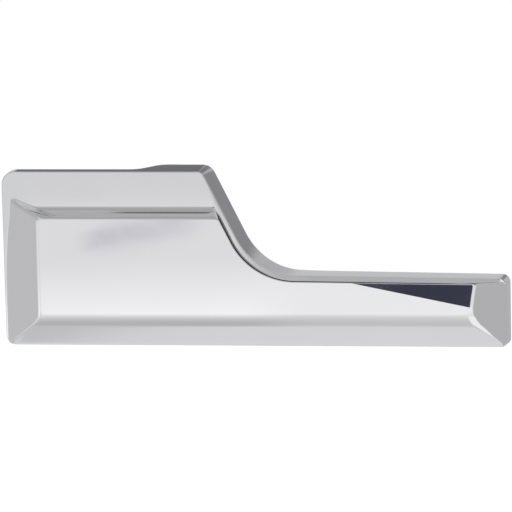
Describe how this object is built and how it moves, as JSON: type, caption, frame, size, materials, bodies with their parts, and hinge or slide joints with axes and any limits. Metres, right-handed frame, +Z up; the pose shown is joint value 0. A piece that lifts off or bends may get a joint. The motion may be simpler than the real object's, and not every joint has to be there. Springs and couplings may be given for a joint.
{
  "type": "car interior door handle",
  "caption": "Chrome-plated pull lever with a raised, bevelled front panel and a narrow finger bar, hinged on a screwed-on base with a return spring and a release cable arm.",
  "frame": {"origin": "centre of the rectangle of door screws, on the plane that the base bears on", "axes": "+X along the lever from the hub to the tip, +Y into the door, +Z up; the front faces -Y"},
  "size_m": [0.167, 0.033, 0.0584],
  "materials": {
    "chrome_plating": "bright chrome plating on a plastic moulding",
    "black_nylon": "fine moulded grain",
    "white_acetal": "smooth moulded",
    "screw_steel": "zinc-plated",
    "bright_steel": "turned and polished",
    "spring_steel": "oiled spring wire and strip",
    "rubber": "matt moulded rubber"
  },
  "bodies": {
    "base": {"hinge_base": "black_nylon", "pivot_pin": "bright_steel", "pin_retaining_ring": "spring_steel", "spring_sleeve": "white_acetal", "return_spring": "spring_steel", "upper_rest_bumper": "rubber", "lower_rest_bumper": "rubber", "open_stop_bumper": "rubber", "compression_limiters": "bright_steel"},
    "lever": {"lever_cover": "chrome_plating", "lever_carrier": "black_nylon", "upper_bush": "white_acetal", "lower_bush": "white_acetal", "carrier_screws": "screw_steel"}
  },
  "joints": [
    {"name": "lever_hinge", "type": "hinge", "parent": "base", "child": "lever", "pos_m": [-0.016, -0.0185, 0], "axis": [0, 0, -1], "range_deg": [0, 30], "stiffness_Nm_per_rad": 0.35, "springref_deg": -20.05, "deforming": ["return_spring"]}
  ]
}
